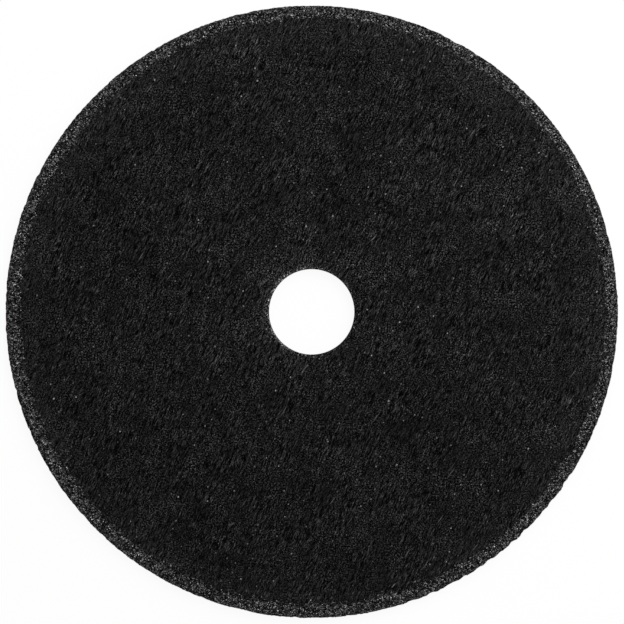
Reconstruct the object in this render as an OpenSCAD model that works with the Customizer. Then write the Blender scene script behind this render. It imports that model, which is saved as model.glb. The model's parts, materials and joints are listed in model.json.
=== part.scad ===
// Cut-off wheel: a thin flat disc of resin-bonded abrasive grit, pressed in one piece.
// It lies flat. The origin is the centre of the arbor hole on the lower face, and the wheel spins about Z.
// Each face carries a black fibre facing that stops short of the rim and leaves a bare band of grit.
// The facing was laid a little off centre, so the bare band is wider on one side than on the other.

/* [Wheel] */
// Outside diameter of the wheel
wheel_d = 115; // [60:1:230]
// Thickness over both facings
wheel_t = 1.6; // [1:0.1:3.2]
// Radius of the two worn corners of the rim
rim_corner_r = 0.3; // [0.1:0.05:0.35]

/* [Arbor hole] */
// Diameter of the hole that goes over the spindle
arbor_d = 16; // [6:0.1:32]
// Size of the bevel that breaks each edge of the hole
arbor_bevel = 0.2; // [0.05:0.05:0.3]

/* [Facing] */
// Average width of the bare grit between the edge of the facing and the rim
bare_band_w = 2.6; // [1:0.1:5]
// How far the facing stands above the bare grit
facing_h = 0.1; // [0.05:0.01:0.15]
// How far the facing lies off centre along X
facing_off_x = 0.25; // [-0.5:0.05:0.5]
// How far the facing lies off centre along Y
facing_off_y = 0.2; // [-0.5:0.05:0.5]

/* [Rim nicks] */
// Depth of the deepest nick in the rim
nick_depth = 0.28; // [0.1:0.02:0.5]
// Radius of the widest scoop that a nick is broken out with
nick_scoop_r = 6; // [2:0.5:10]

/* [Hidden] */
$fn = 256;

wheel_r = wheel_d / 2;
arbor_r = arbor_d / 2;
facing_r = wheel_r - bare_band_w;
grit_t = wheel_t - 2 * facing_h;

// A cutting tool reaches this far past the surface that it cuts.
overcut = 1;

// Each nick in the rim: angle in degrees from +X, share of nick_depth, share of nick_scoop_r.
// They crowd together from 289 to 328 degrees, where the rim is most broken.
nicks = [
    [2, 0.25, 0.60], [15, 0.35, 1.00], [21.5, 0.35, 0.70], [47, 0.30, 0.50], [62, 0.30, 1.00],
    [121, 0.55, 0.20], [139, 0.30, 0.80], [153, 0.40, 0.35], [159, 0.32, 0.50], [165, 0.32, 0.80],
    [176, 0.35, 0.50], [182, 0.30, 1.00], [195, 0.40, 0.40], [198, 0.35, 0.20], [203, 0.40, 0.30],
    [206, 0.32, 0.25], [222, 0.35, 0.30], [227, 0.50, 0.60], [249, 0.30, 0.40], [256, 0.35, 0.40],
    [267, 0.40, 0.30], [277, 0.30, 0.40], [289, 0.45, 0.60], [293, 0.55, 0.50], [297, 0.80, 0.35],
    [300, 0.60, 0.25], [303, 0.50, 0.50], [305.5, 0.75, 0.30], [308, 0.70, 0.30], [311, 0.65, 0.50],
    [314, 0.80, 0.40], [319, 0.55, 0.30], [321.5, 0.75, 0.35], [326, 1.00, 0.20], [327.5, 0.70, 0.35],
    [337.5, 0.40, 0.70], [345.5, 0.40, 0.35], [350, 0.50, 0.70]
];

// Half of the grit body's section, with its rim corners worn round.
module grit_section() {
    straight_r = wheel_r - rim_corner_r;
    straight_t = grit_t - 2 * rim_corner_r;
    square([straight_r, grit_t]);
    translate([0, rim_corner_r]) square([wheel_r, straight_t]);
    for (z = [rim_corner_r, grit_t - rim_corner_r])
        translate([straight_r, z]) circle(rim_corner_r);
}

// The pressed disc of grit that lies between the two facings.
module grit_body() {
    translate([0, 0, facing_h]) rotate_extrude() grit_section();
}

// The fibre facing, pressed into both faces and standing a little proud of them.
module facings() {
    translate([facing_off_x, facing_off_y, 0]) cylinder(r = facing_r, h = wheel_t);
}

// What the hole's punch and its two bevels take away.
module arbor_hole() {
    flare_r = arbor_r + arbor_bevel + overcut;
    rotate_extrude() polygon([
        [0, -overcut],
        [flare_r, -overcut],
        [arbor_r, arbor_bevel],
        [arbor_r, wheel_t - arbor_bevel],
        [flare_r, wheel_t + overcut],
        [0, wheel_t + overcut]
    ]);
}

// One shallow scoop out of the rim.
module rim_nick(angle, depth, scoop_r) {
    rotate([0, 0, angle])
        translate([wheel_r - depth + scoop_r, 0, -overcut])
            cylinder(r = scoop_r, h = wheel_t + 2 * overcut);
}

module cut_off_wheel() {
    color("#1c1c1c") difference() {
        union() {
            grit_body();
            facings();
        }
        arbor_hole();
        for (n = nicks) rim_nick(n[0], n[1] * nick_depth, n[2] * nick_scoop_r);
    }
}

cut_off_wheel();
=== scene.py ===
# %% [markdown]
# # A cut-off wheel
# The object is a thin disc of abrasive grit that resin holds together. A black fibre facing covers
# both sides and stops short of the rim, where a narrow band of bare grit shows. CAD has settled the
# sizes, and this lesson makes the surfaces: one closed mesh with real relief, and one finish, made of
# nodes alone, that changes from fibre to grit.

# %% Load the frame and measure it
import json
import math

import bpy
import numpy as np
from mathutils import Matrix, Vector, noise


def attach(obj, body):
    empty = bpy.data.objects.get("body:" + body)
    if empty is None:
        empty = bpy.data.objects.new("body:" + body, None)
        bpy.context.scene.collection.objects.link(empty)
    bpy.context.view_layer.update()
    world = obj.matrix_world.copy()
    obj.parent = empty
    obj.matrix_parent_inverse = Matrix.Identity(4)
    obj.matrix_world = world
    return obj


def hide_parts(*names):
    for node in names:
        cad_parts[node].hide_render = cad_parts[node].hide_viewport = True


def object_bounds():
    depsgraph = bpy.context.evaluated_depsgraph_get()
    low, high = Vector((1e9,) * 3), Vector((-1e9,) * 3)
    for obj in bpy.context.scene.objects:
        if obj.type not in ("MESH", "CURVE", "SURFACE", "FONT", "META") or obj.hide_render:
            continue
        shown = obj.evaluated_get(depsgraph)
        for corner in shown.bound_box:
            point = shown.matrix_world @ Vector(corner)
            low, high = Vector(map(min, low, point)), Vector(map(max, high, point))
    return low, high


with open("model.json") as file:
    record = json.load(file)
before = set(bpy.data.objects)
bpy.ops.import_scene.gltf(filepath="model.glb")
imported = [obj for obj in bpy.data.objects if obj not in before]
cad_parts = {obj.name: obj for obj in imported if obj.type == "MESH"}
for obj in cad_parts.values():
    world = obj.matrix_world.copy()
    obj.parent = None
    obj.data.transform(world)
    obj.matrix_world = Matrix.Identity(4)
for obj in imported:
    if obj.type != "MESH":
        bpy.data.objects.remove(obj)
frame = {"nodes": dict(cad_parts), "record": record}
cad_low, cad_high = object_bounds()

MM = 0.001
NODE = "cut_off_wheel"
arbor_hole = next(m for m in frame["record"]["mounts"] if m["name"] == "arbor_hole")
ARBOR_R = arbor_hole["dims"]["r_mm"] * MM
WHEEL_R = max(cad_high.x, cad_high.y, -cad_low.x, -cad_low.y)
WHEEL_T = cad_high.z - cad_low.z
print(f"wheel {2 * WHEEL_R / MM:.2f} mm, {WHEEL_T / MM:.2f} mm thick, hole {2 * ARBOR_R / MM:.2f} mm")

# %% [markdown]
# ## The camera
# The photograph looks straight down on the wheel: its outline is round, and no wall of the hole
# shows. So the camera stands above it, a hair off the axis, because the wheel isn't quite in the
# middle of the picture. A camera that is turned by nothing looks down, with +Y up in the picture. Its
# height follows from how much of the picture the wheel fills. A long lens keeps the far edge of the
# hole in line with the near one.

# %% Camera above the wheel
PHOTO_PX = 624
WHEEL_PX = 613.5
LENS = 135.0
SENSOR = 36.0
CLIP_START = 10 * MM
CAMERA_OFF = Vector((0.056, -0.028)) * MM

picture_width = 2 * WHEEL_R * PHOTO_PX / WHEEL_PX
camera_height = WHEEL_T / 2 + picture_width * LENS / SENSOR
bpy.ops.object.camera_add(location=(*CAMERA_OFF, camera_height), rotation=(0, 0, 0))
camera = bpy.context.object
camera.data.lens = LENS
camera.data.sensor_width = SENSOR
camera.data.clip_start = CLIP_START
bpy.context.scene.camera = camera
print(f"camera {camera_height / MM:.0f} mm up, picture {picture_width / MM:.2f} mm wide")

# %% [markdown]
# ## Writing shader maths as Python
# A finish here is a formula over the surface, and drawing it node by node would hide the formula. So
# one small class stands for an output socket. Arithmetic on it adds Math nodes, and its node method
# adds any other node: settings first, because they decide which sockets there are, then the sockets.

# %% A socket that can be calculated with
class Field:
    """An output socket of a node tree. Arithmetic on it adds Math nodes to the tree."""

    def __init__(self, tree, socket=None):
        self.tree = tree
        self.socket = socket

    def node(self, kind, settings=None, inputs=None, output=0):
        """Adds a node, sets it and fills its sockets. Returns one of its outputs."""
        made = self.tree.nodes.new("ShaderNode" + kind)
        for name, value in (settings or {}).items():
            setattr(made, name, value)
        for name, value in (inputs or {}).items():
            if isinstance(value, Field):
                self.tree.links.new(value.socket, made.inputs[name])
            else:
                made.inputs[name].default_value = value
        return Field(self.tree, made.outputs[output])

    def math(self, operation, first, second=0.0):
        return self.node("Math", {"operation": operation}, {0: first, 1: second})

    def __add__(self, other):
        return self.math("ADD", self, other)

    def __sub__(self, other):
        return self.math("SUBTRACT", self, other)

    def __rsub__(self, other):
        return self.math("SUBTRACT", other, self)

    def __mul__(self, other):
        return self.math("MULTIPLY", self, other)

    def __truediv__(self, other):
        return self.math("DIVIDE", self, other)

    def __pow__(self, other):
        return self.math("POWER", self, other)

    def __rpow__(self, other):
        return self.math("POWER", other, self)

    def __abs__(self):
        return self.math("ABSOLUTE", self)

    __radd__ = __add__
    __rmul__ = __mul__

    def cos(self):
        return self.math("COSINE", self)

    def at_least(self, least):
        return self.math("MAXIMUM", self, least)

    def part(self, index):
        """One of the three numbers of a vector or colour."""
        return self.node("SeparateXYZ", {}, {"Vector": self}, index)

    def ease(self, low, high):
        """0 below low, 1 above high, and a smooth rise between them. It falls if low is the larger."""
        between = {"Value": self, "From Min": low, "From Max": high}
        return self.node("MapRange", {"interpolation_type": "SMOOTHSTEP"}, between)


# %% Materials and what the camera sees
WHITE = (1, 1, 1, 1)


def new_material(name):
    """A material with an empty tree. Returns it with a field to start its formulas from."""
    material = bpy.data.materials.new(name)
    material.use_nodes = True
    material.node_tree.nodes.clear()
    return material, Field(material.node_tree)


def backdrop_rays(field):
    """1 for the rays that see the ground as a picture: from the camera, a mirror or glass."""
    kinds = ["Is Camera Ray", "Is Glossy Ray", "Is Transmission Ray"]
    camera_ray, glossy_ray, glass_ray = [field.node("LightPath", {}, {}, kind) for kind in kinds]
    return camera_ray.at_least(glossy_ray).at_least(glass_ray)


def show(field, shader):
    """Links a shader to a new output of its tree."""
    output = field.tree.nodes.new("ShaderNodeOutputMaterial")
    field.tree.links.new(shader.socket, output.inputs["Surface"])


# %% [markdown]
# ## The floor
# The photograph has a plain white ground. A floor that is only lit would turn grey towards the
# corners, so the camera sees it as a mix: mostly a plain white of strength 1, and for the rest a
# white surface that takes light, which keeps the soft shadow round the wheel.

# %% White floor
FLOOR_SIZE = 8.0
FLOOR_COLOUR = (0.97, 0.97, 0.97, 1)
GLOW_SHARE = 0.92

bpy.ops.object.select_all(action="DESELECT")
bpy.ops.mesh.primitive_plane_add(size=FLOOR_SIZE, location=(0, 0, 0))
floor = bpy.context.object
floor.name = "studio_floor"
floor_material, start = new_material("white_floor")
lit = start.node("BsdfDiffuse", {}, {"Color": FLOOR_COLOUR})
glow = start.node("Emission", {}, {"Color": WHITE, "Strength": 1.0})
glow_seen = backdrop_rays(start) * GLOW_SHARE
show(start, start.node("MixShader", {}, {0: glow_seen, 1: lit, 2: glow}))
floor.data.materials.append(floor_material)
print(f"floor {FLOOR_SIZE:.0f} m across")

# %% [markdown]
# ## The light
# Black surfaces show little but what they mirror, so a lamp straight above would lay a grey veil over
# the wheel. The light therefore comes from all round: the world is bright towards the horizon and
# dim overhead, and one large soft lamp to the upper right gives the relief its direction. Together
# they light a level surface so that a colour comes out about as it is written.

# %% World and lamp
HORIZON_LIGHT = 1.0
OVERHEAD_LIGHT = 0.29
LAMP_POWER = 1.65
LAMP_SIZE = 0.45
LAMP_PLACE = Vector((0.19, 0.24, 0.22))

world = bpy.data.worlds.new("studio")
bpy.context.scene.world = world
world.use_nodes = True
world.node_tree.nodes.clear()
sky = Field(world.node_tree)
upward = sky.node("TexCoord", {}, {}, "Generated").part(2)
sky_light = upward.ease(0.0, 1.0) * (OVERHEAD_LIGHT - HORIZON_LIGHT) + HORIZON_LIGHT
sky_seen = backdrop_rays(sky)
strength = sky_seen + (1 - sky_seen) * sky_light
background = sky.node("Background", {}, {"Color": WHITE, "Strength": strength})
world_output = world.node_tree.nodes.new("ShaderNodeOutputWorld")
world.node_tree.links.new(background.socket, world_output.inputs["Surface"])

bpy.ops.object.light_add(type="AREA", location=LAMP_PLACE)
lamp = bpy.context.object
lamp.data.shape = "DISK"
lamp.data.size = LAMP_SIZE
lamp.data.energy = LAMP_POWER
lamp.rotation_euler = (-LAMP_PLACE).to_track_quat("-Z", "Y").to_euler()
bpy.context.scene.view_settings.view_transform = "Standard"
print(f"lamp {LAMP_PLACE.length:.2f} m away")

# %% [markdown]
# ## The disc
# The wheel is round, so its mesh is built from rings. Each ring is a circle primitive, and Bridge Edge
# Loops joins two of them, with as many rows between as the relief needs. The number of points goes up
# towards the rim, where the grit is: a bridge also joins rings of different counts. Only the upper
# half is built, about the level of the wheel's middle, and a Mirror modifier makes the lower half.

# %% Rings of the upper half
HOLE_BEVEL = 0.2 * MM
FACING_H = 0.1 * MM
BARE_BAND = 2.6 * MM
RIM_CORNER = 0.3 * MM
FACING_SHIFT = Vector((0.25, 0.2)) * MM
FACING_R = WHEEL_R - BARE_BAND
EDGE_SLOPE = 0.12 * MM
HALF_T = WHEEL_T / 2
GRIT_Z = HALF_T - FACING_H
FACE_POINTS = 300
OUTER_POINTS = 2 * FACE_POINTS
RIM_POINTS = 4 * FACE_POINTS
OUTER_FROM = 44 * MM
RIM_FROM = 53.7 * MM
GRADE = 0.6 * MM
CORNER_STEPS = 4


def ring(radius, height, points, rows=1, shift=(0, 0)):
    """One circle of the section, and the rows of faces between it and the next one."""
    return {"r": radius, "place": (shift[0], shift[1], height), "points": points, "rows": rows}


rings = [
    ring(ARBOR_R, 0, FACE_POINTS, rows=3),
    ring(ARBOR_R, HALF_T - HOLE_BEVEL, FACE_POINTS, rows=2),
    ring(ARBOR_R + HOLE_BEVEL, HALF_T, FACE_POINTS, rows=3),
    ring(ARBOR_R + 3 * HOLE_BEVEL, HALF_T, FACE_POINTS, rows=50),
    ring(OUTER_FROM, HALF_T, FACE_POINTS),
    ring(OUTER_FROM + GRADE, HALF_T, OUTER_POINTS, rows=14),
    ring(RIM_FROM - GRADE, HALF_T, OUTER_POINTS),
    ring(RIM_FROM, HALF_T, RIM_POINTS, rows=4, shift=FACING_SHIFT),
    ring(FACING_R, HALF_T, RIM_POINTS, rows=2, shift=FACING_SHIFT),
    ring(FACING_R + EDGE_SLOPE, GRIT_Z, RIM_POINTS, rows=7, shift=FACING_SHIFT),
]
corner_r = WHEEL_R - RIM_CORNER
corner_z = GRIT_Z - RIM_CORNER
for step in range(CORNER_STEPS + 1):
    lean = math.pi / 2 * step / CORNER_STEPS
    corner_height = corner_z + RIM_CORNER * math.cos(lean)
    rings.append(ring(corner_r + RIM_CORNER * math.sin(lean), corner_height, RIM_POINTS))
rings[-1]["rows"] = 2
rings.append(ring(WHEEL_R, 0, RIM_POINTS))
print(f"{len(rings)} rings, {RIM_POINTS} points round the rim")

# %% Bridge the rings and mirror them
MERGE = 0.001 * MM

bpy.ops.object.select_all(action="DESELECT")
bpy.ops.object.add(type="MESH", location=(0, 0, 0))
wheel = bpy.context.object
wheel.name = "abrasive_wheel"
bpy.ops.object.mode_set(mode="EDIT")
for inner, outer in zip(rings, rings[1:]):
    for circle in (inner, outer):
        bpy.ops.mesh.primitive_circle_add(
            vertices=circle["points"], radius=circle["r"], location=circle["place"]
        )
    bpy.ops.mesh.select_all(action="SELECT")
    bpy.ops.mesh.bridge_edge_loops(number_cuts=inner["rows"] - 1, interpolation="LINEAR")
    bpy.ops.mesh.hide(unselected=False)
bpy.ops.mesh.reveal(select=True)
bpy.ops.mesh.remove_doubles(threshold=MERGE)
bpy.ops.object.mode_set(mode="OBJECT")


def apply_modifier(kind, **settings):
    """Adds a modifier to the wheel, sets it and applies it."""
    bpy.ops.object.modifier_add(type=kind)
    modifier = wheel.modifiers[-1]
    for name, value in settings.items():
        setattr(modifier, name, value)
    bpy.ops.object.modifier_apply(modifier=modifier.name)


apply_modifier("MIRROR", use_axis=(False, False, True), merge_threshold=MERGE)
bpy.ops.object.mode_set(mode="EDIT")
bpy.ops.mesh.select_all(action="SELECT")
bpy.ops.transform.translate(value=(0, 0, HALF_T))
bpy.ops.mesh.normals_make_consistent(inside=False)
bpy.ops.object.mode_set(mode="OBJECT")
print(f"wheel {len(wheel.data.polygons)} faces")

# %% [markdown]
# ## The broken rim and the worn facing
# Handling has broken small nicks out of the rim, and they are in the CAD solid. Rays that go inwards
# at half the thickness find its outline, and each column of the band is drawn in to meet it, so the
# rows stay apart and no face folds over. Between the nicks the rim isn't smooth: straight flakes have
# come off it, each a little deeper or shallower than the next, and single grains are missing. This
# only ever takes away, which keeps the wheel inside its true size. The edge of the facing wanders in
# and out, and round the hole the punch has chipped it, most of all on the left.

# %% Measure the outline of the solid
OUTSIDE = 1.1

solid = frame["nodes"][NODE]
angles = np.linspace(-math.pi, math.pi, RIM_POINTS + 1)


def outline(angle):
    """How far the CAD solid reaches from the axis in this direction."""
    outward = Vector((math.cos(angle), math.sin(angle), 0))
    start_point = outward * WHEEL_R * OUTSIDE + Vector((0, 0, HALF_T))
    hit, point, normal, face = solid.ray_cast(start_point, -outward)
    return point.xy.length if hit else WHEEL_R


solid_reach = np.array([outline(a) for a in angles])
print(f"solid from {solid_reach.min() / MM:.2f} to {solid_reach.max() / MM:.2f} mm")

# %% Take flakes and grains off it
CHIP = 0.18 * MM
CHIP_STEP = 2.3 * MM
CHIP_FROM = 0.25
LOOSE = 0.06 * MM
LOOSE_STEP = 0.4 * MM
FLAKES = 150
FLAKE = 0.08 * MM
FLAKE_SHIFT = 0.8
FLAKE_STEP = 6 * MM
BROKEN_ANGLE = math.radians(-52)
BROKEN_FOCUS = 12
NOISE_LEVEL = 0.3


def wander(angle, radius, step):
    """Smooth noise between about -1 and 1 along a circle."""
    return noise.noise(Vector((math.cos(angle), math.sin(angle), NOISE_LEVEL)) * radius / step)


def flake(angle):
    """What straight flakes have taken: each starts and ends at a depth of its own."""
    along = FLAKES * angle / (2 * math.pi) + FLAKE_SHIFT * wander(angle, WHEEL_R, FLAKE_STEP)
    index = math.floor(along) + 0.5
    first = abs(noise.cell(Vector((index, 0.5, 0))))
    last = abs(noise.cell(Vector((index, 5.5, 0))))
    broken = 1 + max(0, math.cos(angle - BROKEN_ANGLE)) ** BROKEN_FOCUS
    return FLAKE * broken * (first + (last - first) * (along - index + 0.5))


def loss(angle):
    """What chips and loose grains have taken from the outline in this direction."""
    chip = max(0, wander(angle, WHEEL_R, CHIP_STEP) - CHIP_FROM)
    loose = max(0, wander(angle, WHEEL_R, LOOSE_STEP))
    return CHIP * chip + LOOSE * loose + flake(angle)


reach = solid_reach - np.array([loss(a) for a in angles])
print(f"outline from {reach.min() / MM:.2f} to {reach.max() / MM:.2f} mm")

# %% Read the mesh and prepare to draw it
AXIS = np.zeros(2)
FACING_AXIS = np.array([FACING_SHIFT.x, FACING_SHIFT.y])
HALF_WAY = 0.5 * WHEEL_R

co = np.empty(len(wheel.data.vertices) * 3)
wheel.data.vertices.foreach_get("co", co)
co = co.reshape(-1, 3)
level = np.abs(co[:, 2] - HALF_T)


def polar(centre):
    """Distance and direction of every vertex from an axis."""
    off = co[:, :2] - centre
    return np.hypot(off[:, 0], off[:, 1]), np.arctan2(off[:, 1], off[:, 0])


def draw(centre, distance, drawn):
    """Moves every vertex along its own radius to the distance drawn."""
    co[:, :2] = centre + (co[:, :2] - centre) * (drawn / distance)[:, None]


def unrolled(distance):
    """Distances with the walls laid flat: that of the rim outwards and that of the hole inwards."""
    return distance + (HALF_T - level) * np.where(distance > HALF_WAY, 1, -1)


print(f"{len(co)} vertices")

# %% Draw the rows to the outline and to the worn edges
EDGE_WANDER = 0.30 * MM
EDGE_STEP = 4 * MM
EDGE_FINE_STEP = 1.3 * MM
EDGE_FINE_SHARE = 0.6
BAND_MARGIN = 0.5 * MM
CHIPPED_SIDE = math.radians(150)
HOLE_CHIP = 0.68 * MM
HOLE_STEP = 1.1 * MM
HOLE_LEAST = 0.15


def edge_wander(angle):
    """How the edge of the facing wanders, between about -1 and 1."""
    fine_wander = EDGE_FINE_SHARE * wander(angle, FACING_R, EDGE_FINE_STEP)
    return wander(angle, FACING_R, EDGE_STEP) + fine_wander


wandering = np.array([edge_wander(a) for a in angles])
distance, turn = polar(FACING_AXIS)
section = unrolled(distance)
stops = [0, RIM_FROM, FACING_R, FACING_R + EDGE_SLOPE, corner_r - BAND_MARGIN, 2 * WHEEL_R]
edge_share = np.interp(distance, stops, [0, 0, 1, 1, 0, 0])
wandered = EDGE_WANDER * edge_share * np.interp(turn, angles, wandering)
draw(FACING_AXIS, distance, distance + wandered)

distance, turn = polar(AXIS)
band_from = RIM_FROM + BAND_MARGIN
rim_share = np.clip((distance - band_from) / (WHEEL_R - band_from), 0, 1) ** 2
draw(AXIS, distance, distance + rim_share * (np.interp(turn, angles, reach) - WHEEL_R))

distance, turn = polar(AXIS)
hole_depth = ARBOR_R + HOLE_BEVEL - distance
left_side = np.cos(angles - CHIPPED_SIDE) * 0.5 + 0.5
chipped = np.array([abs(wander(a, ARBOR_R, HOLE_STEP)) + HOLE_LEAST for a in angles]) * left_side
stops = [0, ARBOR_R, ARBOR_R + HOLE_BEVEL, ARBOR_R + 4 * HOLE_BEVEL, 2 * WHEEL_R]
hole_share = np.interp(distance, stops, [0, 0, 1, 0, 0])
draw(AXIS, distance, distance + HOLE_CHIP * hole_share * np.interp(turn, angles, chipped))
print(f"edge of the facing wanders by up to {np.abs(wandered).max() / MM:.2f} mm")

# %% [markdown]
# ## Where the facing ends
# The finish has to change where the facing ends, on the step near the rim and on the bevel of the
# hole. Each vertex gets a number for that: its distance from the edge of the facing, positive on bare
# grit. The rings were built at known distances, so the number follows the edge wherever it wanders.
# The same rings give the flat layout for textures: the face keeps its shape, the wall of the rim is
# folded outwards and the wall of the hole inwards. Both sides of the wheel share one layout.

# %% Store the distance from the edge and the layout
LAYOUT_MARGIN = 0.5 * MM

distance, turn = polar(AXIS)
past_facing = section - (FACING_R + 0.5 * EDGE_SLOPE + 0.5 * FACING_H)
bare = np.maximum(past_facing, hole_depth)
wheel.data.attributes.new("bare", "FLOAT", "POINT").data.foreach_set("value", bare)
layout_width = 2 * (WHEEL_R + HALF_T + LAYOUT_MARGIN)
outward = np.stack([np.cos(turn), np.sin(turn)], 1)
flat = 0.5 + outward * (unrolled(distance) / layout_width)[:, None]
corners = np.empty(len(wheel.data.loops), np.int32)
wheel.data.loops.foreach_get("vertex_index", corners)
wheel.data.uv_layers.new(name="OFBake").data.foreach_set("uv", flat[corners].ravel())
print(f"{(bare > 0).sum()} vertices of {len(bare)} lie on bare grit")

# %% [markdown]
# ## Relief of the facing
# A glass mesh lies under the facing and shows through it: the warp in near-vertical lines that swing
# from side to side at every crossing, and the weft as softer lines across. One formula gives the
# height of the mesh. It is written with arithmetic alone, so it works on NumPy arrays here, and later
# on fields, where the same lines tint the fibre.

# %% Height of the glass mesh
WARP_PITCH = 3.88 * MM
WARP_ANGLE = math.radians(-3.1)
WARP_SHIFT = -1.1 * MM
WARP_SHARPNESS = 12
WEFT_PITCH = 3.94 * MM
WEFT_ANGLE = math.radians(86.0)
WEFT_SHIFT = -1.9 * MM
WEFT_SHARPNESS = 6
SWING = 0.19 * MM
SWAY = 0.3 * MM
SWAY_PITCH = 43 * MM


def across(x, y, angle, shift):
    """Distance of a point from a line through the wheel, along the line's normal."""
    return x * math.cos(angle) + y * math.sin(angle) - shift


def lines(distance, pitch, sharpness):
    """1 on every line of a set and 0 between them: the sharper, the thinner the lines."""
    wave = distance * (2 * math.pi / pitch)
    cosine = wave.cos() if isinstance(wave, Field) else np.cos(wave)
    return (cosine * 0.5 + 0.5) ** sharpness


def mesh_height(x, y):
    """Height of the warp and of the weft at a point of the face, each from 0 to 1."""
    along = across(x, y, WEFT_ANGLE, WEFT_SHIFT)
    swing = (lines(along, 2 * WEFT_PITCH, 1) - 0.5) * (2 * SWING)
    weft = lines(along, WEFT_PITCH, WEFT_SHARPNESS)
    sway = (lines(along, SWAY_PITCH, 1) - 0.5) * (2 * SWAY)
    beside = across(x, y, WARP_ANGLE, WARP_SHIFT) - swing - sway
    warp = lines(beside, WARP_PITCH, WARP_SHARPNESS)
    return warp, weft


# %% Press the face down between the lines
FACING_RELIEF = 0.035 * MM
LINE_SHARE = 0.6
FLAT_WITHIN = 0.01 * MM

warp, weft = mesh_height(co[:, 0], co[:, 1])
raised = np.maximum(warp * (LINE_SHARE + (1 - LINE_SHARE) * weft), LINE_SHARE * weft)
on_face = level > HALF_T - FLAT_WITHIN
inward = -np.sign(co[:, 2] - HALF_T)
co[:, 2] += on_face * inward * (1 - raised) * FACING_RELIEF
wheel.data.vertices.foreach_set("co", co.ravel())
wheel.data.update()
print(f"{on_face.sum()} vertices carry the mesh")

# %% [markdown]
# ## Grains and fibres
# Three Displace modifiers roughen the mesh, each on a vertex group. On the bare grit a Voronoi
# texture makes a dome of each cell, about as large as a grain, so the seams between the grains sink
# in, and clouds make shallow pits. The facing only gets a slight unevenness. All push inwards only.

# %% Displace the grit and the facing
GRAIN = 0.55 * MM
GRAIN_DEPTH = 0.16 * MM
PIT = 1.6 * MM
PIT_DEPTH = 0.06 * MM
FELT = 0.8 * MM
FELT_DEPTH = 0.012 * MM
EDGE_GAP = 0.02 * MM


def vertex_group(name, chosen):
    """A vertex group of the chosen vertices. Returns its name."""
    group = wheel.vertex_groups.new(name=name)
    group.add(np.flatnonzero(chosen).tolist(), 1.0, "REPLACE")
    return group.name


def push_in(name, kind, size, depth, group):
    """Pushes a group of vertices inwards, by as much as depth, with a texture of this grain size."""
    texture = bpy.data.textures.new(name, type=kind)
    texture.noise_scale = size
    settings = {"texture": texture, "texture_coords": "LOCAL", "vertex_group": group}
    apply_modifier("DISPLACE", mid_level=0.0, strength=-depth, **settings)


grit_group = vertex_group("bare_grit", (bare > EDGE_GAP) & (distance > HALF_WAY))
facing_group = vertex_group("facing", on_face & (bare < -EDGE_GAP))
bpy.context.view_layer.objects.active = wheel
push_in("grains", "VORONOI", GRAIN, GRAIN_DEPTH, grit_group)
push_in("pits", "CLOUDS", PIT, PIT_DEPTH, grit_group)
push_in("felt", "CLOUDS", FELT, FELT_DEPTH, facing_group)
bpy.ops.object.shade_smooth()
print(f"grains up to {GRAIN_DEPTH / MM:.2f} mm deep")

# %% [markdown]
# ## Tools for the finish
# Everything on the wheel is made of noise and of cells: noise for the fleece, cells for the grains
# and for single specks. These helpers keep the formulas short.

# %% Noise, cells and specks
def stretched(place, angle, length, width):
    """Coordinates in which a fibre that lies at this angle has length and width 1."""
    frame_of_fibre = {"Vector": place, "Rotation": (0, 0, angle), "Scale": (length, width, 1)}
    return place.node("Mapping", {"vector_type": "TEXTURE"}, frame_of_fibre)


def noise_on(vector, scale=1.0, detail=1.0, rough=0.5, output="Fac"):
    """Smooth noise about 0.5, either as one number or, from the output Color, as three."""
    wanted = {"Vector": vector, "Scale": scale, "Detail": detail, "Roughness": rough}
    return vector.node("TexNoise", {"noise_dimensions": "2D"}, wanted, output)


def cells_on(vector, scale=1.0, dimensions="2D"):
    """Distance from the middle of the nearest cell, and the cell's own three random numbers."""
    wanted = {"Vector": vector, "Scale": scale}
    cell = vector.node("TexVoronoi", {"voronoi_dimensions": dimensions}, wanted, "Distance")
    return cell, Field(cell.tree, cell.socket.node.outputs["Color"])


def specks_on(vector, radius, kept):
    """Round specks in a few of the cells of size 1: kept is the share of cells that hold one.

    A speck's radius is between 0.6 and 1.4 times the given one, and most specks are faint.
    """
    from_middle, random = cells_on(vector)
    chosen = random.part(0).ease(1 - kept, 1 - 0.9 * kept)
    size = (random.part(1) * 0.8 + 0.6) * radius
    return chosen * (from_middle / size).ease(1.0, 0.2) * (random.part(2) ** 4 * 0.8 + 0.2)


# %% [markdown]
# ## Fibres of the facing
# The facing is a thin black fleece. Its fibres mostly run one way, from the lower left to the upper
# right, but they curl. Strands of hair could be grown here, but at this size they would be far too
# many. So the coordinates are bent, and noise is then stretched along the fibres. In some places the
# fibres lie combed, and in others they are matted into a fine grain. Noise of several widths adds up
# to one number per point. Along the edge of the facing a thin pale veil calms the fibres.

# %% Noise along the fibres
FIBRE_ANGLE = math.radians(63)
FIBRE_SPREAD = math.radians(18)
FIBRE_LENGTH = 1.2 * MM
FIBRE_WIDTH = 0.19 * MM
FIBRE_ROUGH = 0.6
STEEPER_SCALE = 1.3
LONG_TURN = 0.3 * FIBRE_SPREAD
LONG_LENGTH = 3.2 * MM
LONG_WIDTH = 0.22 * MM
CLUMP_LENGTH = 1.6 * MM
CLUMP_WIDTH = 0.72 * MM
FLEECE_GRAIN = 0.27 * MM
FLEECE_ROUGH = 0.7
CURL_STEP = 2.2 * MM
CURL = 0.3 * MM

finish, start = new_material("fleece_and_grit")
place = start.node("TexCoord", {}, {}, "Object")
swirl = noise_on(place, 1 / CURL_STEP, 0.0, 0.5, "Color")
middle = {0: swirl, 1: (0.5, 0.5, 0.5)}
swirl = start.node("VectorMath", {"operation": "SUBTRACT"}, middle)
bend = {0: swirl, 1: (CURL, CURL, 0), 2: place}
bent = start.node("VectorMath", {"operation": "MULTIPLY_ADD"}, bend)


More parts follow.
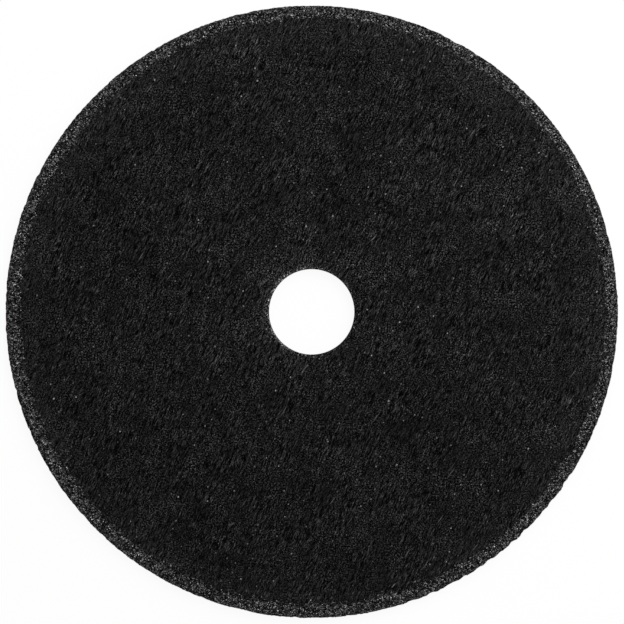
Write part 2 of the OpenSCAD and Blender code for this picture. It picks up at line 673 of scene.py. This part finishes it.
def fibres(angle, length, width, scale=1.0):
    """Noise about 0.5 that is stretched into curled fibres."""
    return noise_on(stretched(bent, angle, length, width), scale, 1.0, FIBRE_ROUGH)


flatter = fibres(FIBRE_ANGLE - FIBRE_SPREAD, FIBRE_LENGTH, FIBRE_WIDTH)
steeper = fibres(FIBRE_ANGLE + FIBRE_SPREAD, FIBRE_LENGTH, FIBRE_WIDTH, STEEPER_SCALE)
longer = fibres(FIBRE_ANGLE + LONG_TURN, LONG_LENGTH, LONG_WIDTH)
fine = noise_on(bent, 1 / FLEECE_GRAIN, 1.0, FLEECE_ROUGH)
clump = noise_on(stretched(bent, FIBRE_ANGLE, CLUMP_LENGTH, CLUMP_WIDTH), 1, 0.0)
print(f"fibres {len(finish.node_tree.nodes)} nodes")

# %% Combed and matted places
COMBED_LENGTH = 7.0 * MM
COMBED_WIDTH = 4.0 * MM
STROKE_STRENGTH = 2.5
GRAIN_STRENGTH = 5.0
CLUMP_STRENGTH = 0.8
LEAST = 0.55
MOST = 1.45
PATCH = 5.0 * MM
PATCH_LEAST = 0.4
PATCH_GAIN = 1.1
VEIL_FROM = 47.5 * MM
VEIL_FULL = 52.5 * MM
VEIL_CALM = 0.15

strokes = (flatter + steeper - 1) * STROKE_STRENGTH + (longer - 0.5) * STROKE_STRENGTH
grain = (fine - 0.5) * GRAIN_STRENGTH
combed_place = stretched(place, FIBRE_ANGLE, COMBED_LENGTH, COMBED_WIDTH)
combed = noise_on(combed_place, 1, 1.0).ease(0.35, 0.65)
lying = strokes * (LEAST + (MOST - LEAST) * combed)
matted = grain * (MOST - (MOST - LEAST) * combed)
strands = lying + matted + (clump - 0.5) * CLUMP_STRENGTH
patch = noise_on(place, 1 / PATCH, 1.0)
x = place.part(0)
y = place.part(1)
from_axis = (x * x + y * y) ** 0.5
veil = from_axis.ease(VEIL_FROM, VEIL_FULL)
fibre = strands * (PATCH_LEAST + PATCH_GAIN * patch) * (1 - veil * VEIL_CALM)
print(f"with combed places {len(finish.node_tree.nodes)} nodes")

# %% [markdown]
# ## Wear and painted light of the facing
# Slower changes lie over the fibres: cloudy patches, and a painted light that makes the facing rise
# slowly towards the upper right, where the lamp stands. The lines of the glass mesh and the wear round
# the hole come on top, most of the wear on the left where the hole is chipped. Each is counted in
# stops, as a photographer does: one stop more doubles the light. So they simply add up, and one power
# of 2 turns the sum into a factor.

# %% Stops of light over the facing
MOTTLE = 14 * MM
PAINTED_LIGHT_ANGLE = math.radians(65)
PAINTED_LIGHT_STOPS = 0.13
WARP_STOPS = 0.19
CROSSING_STOPS = 0.38
WEFT_STOPS = 0.07
MESH_BASE = 0.07
LEFT_FROM = -0.7
LEFT_FULL = 0.6
WORN_ALL_ROUND = [(10 * MM, ARBOR_R, 0.2), (20 * MM, 9 * MM, 0.17)]
WORN_ON_LEFT = [(9.4 * MM, 8.2 * MM, 0.5), (16 * MM, 9 * MM, 0.3)]

# Painted light: the facing is painted lighter towards the upper right, where the lamp stands, on top of
# the cloudy patches.
toward_painted_light = (x * math.cos(PAINTED_LIGHT_ANGLE) + y * math.sin(PAINTED_LIGHT_ANGLE)) / WHEEL_R
mottle_and_painted_light = noise_on(place, 1 / MOTTLE, 2.0) - 0.5 + toward_painted_light * PAINTED_LIGHT_STOPS
warp, weft = mesh_height(x, y)
mesh = warp * (WARP_STOPS + CROSSING_STOPS * weft) + weft * WEFT_STOPS - MESH_BASE
left = (x * math.cos(CHIPPED_SIDE) + y * math.sin(CHIPPED_SIDE)) / from_axis
left = left.ease(LEFT_FROM, LEFT_FULL)
worn = 0
for begins, full, gain in WORN_ALL_ROUND:
    worn = worn + from_axis.ease(begins, full) * gain
for begins, full, gain in WORN_ON_LEFT:
    worn = worn + from_axis.ease(begins, full) * left * gain
print(f"with wear {len(finish.node_tree.nodes)} nodes")

# %% [markdown]
# ## Specks, hairs and scratches
# Pale specks lie on the fleece, crowded round the hole and a little along the edge, with a few hairs
# and rare scratches between them. They could be scattered as small meshes, but cells do it without
# any: a cell is stretched to the form wanted, and a random number decides whether it holds a speck.
# Then everything comes together. A picture stores brightness as about the root of the light, so the
# sum of the fibres is raised to a power before it becomes a colour.

# %% Brightness of the facing
SPECK_LENGTH = 2.0 * MM
SPECK_WIDTH = 1.7 * MM
SPECK_R = 0.085
SPECK_SHARE = 0.24
SPECKS_AT_HOLE = 0.55
SPECKS_AT_EDGE = 0.15
SPECK_GREY = 0.37
HAIR_TURN = -0.4 * FIBRE_SPREAD
HAIR_LENGTH = 9.0 * MM
HAIR_WIDTH = 0.6 * MM
HAIR_R = 0.13
HAIR_SHARE = 0.15
HAIR_GREY = 0.11
SCRATCH_ANGLE = math.radians(47)
SCRATCH_LENGTH = 9.0 * MM
SCRATCH_WIDTH = 1.2 * MM
SCRATCH_R = 0.08
SCRATCH_SHARE = 0.012
SCRATCH_GREY = 0.22
FACE_GREY = 0.0062
VEIL_LIFT = 0.18
DARKEST = 0.05
DISPLAY_POWER = 2.2

near_hole = from_axis.ease(17 * MM, 9 * MM)
near_edge = from_axis.ease(50 * MM, 53 * MM)
speck_share = SPECK_SHARE + near_hole * SPECKS_AT_HOLE + near_edge * SPECKS_AT_EDGE
speck_place = stretched(bent, FIBRE_ANGLE, SPECK_LENGTH, SPECK_WIDTH)
specks = specks_on(speck_place, SPECK_R, speck_share)
hair_place = stretched(bent, FIBRE_ANGLE + HAIR_TURN, HAIR_LENGTH, HAIR_WIDTH)
hairs = specks_on(hair_place, HAIR_R, HAIR_SHARE)
scratch_place = stretched(place, SCRATCH_ANGLE, SCRATCH_LENGTH, SCRATCH_WIDTH)
scratches = specks_on(scratch_place, SCRATCH_R, SCRATCH_SHARE)
pale = specks * SPECK_GREY + scratches * SCRATCH_GREY + hairs * HAIR_GREY
fleece = (fibre + 1 + veil * VEIL_LIFT).at_least(DARKEST) ** DISPLAY_POWER
facing_grey = FACE_GREY * fleece * 2 ** (mottle_and_painted_light + mesh + worn) + pale
print(f"whole facing {len(finish.node_tree.nodes)} nodes")

# %% [markdown]
# ## Bare grit
# Past the facing the wheel is a crowd of hard grains, some pale, most dark, set in black resin. Each
# cell of a Voronoi texture is a grain with a brightness of its own, and a second, finer set breaks
# the large ones up. In some places resin covers the grains, so slow noise lowers the contrast there,
# and at the rim itself they are rubbed. Round the hole the left is paler than the right. A high power
# makes a few grains very bright and leaves most of them dark. Depth is measured from the middle of
# the wheel, so both sides look the same.

# %% Brightness of the grit
GRIT_GREY = 0.0174
GRIT_SIZE = 0.225 * MM
DUST_SIZE = 0.115 * MM
CELL_STRENGTH = 5.8
SEAM_STRENGTH = 3.0
GRIT_LIFT = 0.9
LUMP = 1.1 * MM
LUMP_GAIN = 0.9
LUMP_LEAST = 0.5
RUBBED_FROM = 56.3 * MM
RUBBED_FULL = 57.0 * MM
RUBBED = 0.2
FRINGE_FROM = 0.7 * MM
FRINGE_FULL = 0.2 * MM
FRINGE_SPAN = 2.0
FRINGE_DARK = 0.75
GRIT_STEP = 0.16
GRIT_POWER = 6

depth = abs(place.part(2) - HALF_T)
grit_place = start.node("CombineXYZ", {}, {"X": x, "Y": y, "Z": depth})
off_grain, grain_random = cells_on(grit_place, 1 / GRIT_SIZE, "3D")
off_dust, dust_random = cells_on(grit_place, 1 / DUST_SIZE, "3D")
cells = (grain_random.part(0) + dust_random.part(0) - 1) * CELL_STRENGTH
contrast = noise_on(place, 1 / LUMP, 1.0) * LUMP_GAIN + LUMP_LEAST
rubbed = from_axis.ease(RUBBED_FROM, RUBBED_FULL)
shade = cells - off_grain * SEAM_STRENGTH + GRIT_LIFT
shade = shade * contrast * (1 - rubbed * RUBBED) + rubbed * RUBBED
fringe = left * FRINGE_SPAN - FRINGE_DARK
shade = shade + from_axis.ease(ARBOR_R + FRINGE_FROM, ARBOR_R + FRINGE_FULL) * fringe
grit_grey = GRIT_GREY * (shade * GRIT_STEP + 1).at_least(0.0) ** GRIT_POWER
print(f"with grit {len(finish.node_tree.nodes)} nodes")

# %% [markdown]
# ## One finish for the whole wheel
# The distance from the edge of the facing says which of the two is seen. Noise on that distance frays
# the edge, so grains look through the thin fleece there. The relief of both goes into one Bump node.

# %% Put the finish together
FRAY_STEP = 0.7 * MM
FRAY = 1.8 * MM
FRAY_ROUGH = 0.6
FRAY_FROM = -0.22 * MM
FRAY_FULL = 0.02 * MM
BUMP_DEPTH = 0.08 * MM
FIBRE_BUMP = 0.1
MESH_BUMP = 0.2
DUST_BUMP = 0.4
ROUGH = 0.85
FIBRE_SHINE = 0.03
GRAIN_SHINE = 0.3
SPECULAR = 0.02

edge = start.node("Attribute", {"attribute_name": "bare"}, {}, "Fac")
fray = (noise_on(place, 1 / FRAY_STEP, 1.0, FRAY_ROUGH) - 0.5) * FRAY
grit_share = (edge + fray).ease(FRAY_FROM, FRAY_FULL)


def either(facing_value, grit_value):
    """The facing's value where the facing is seen and the grit's where the grit is."""
    return facing_value + (grit_value - facing_value) * grit_share


grey = either(facing_grey, grit_grey)
height = either(fibre * FIBRE_BUMP + mesh * MESH_BUMP, 1 - off_grain - off_dust * DUST_BUMP)
roughness = either(ROUGH - fibre * FIBRE_SHINE, ROUGH - grain_random.part(1) * GRAIN_SHINE)
normal = start.node("Bump", {}, {"Height": height, "Distance": BUMP_DEPTH})
surface = {"Base Color": grey, "Roughness": roughness, "Normal": normal, "Specular IOR Level": SPECULAR}
show(start, start.node("BsdfPrincipled", {}, surface))
wheel.data.materials.append(finish)
print(f"finish {len(finish.node_tree.nodes)} nodes")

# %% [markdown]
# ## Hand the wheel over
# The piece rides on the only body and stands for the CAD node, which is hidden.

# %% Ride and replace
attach(wheel, "root")
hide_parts(NODE)
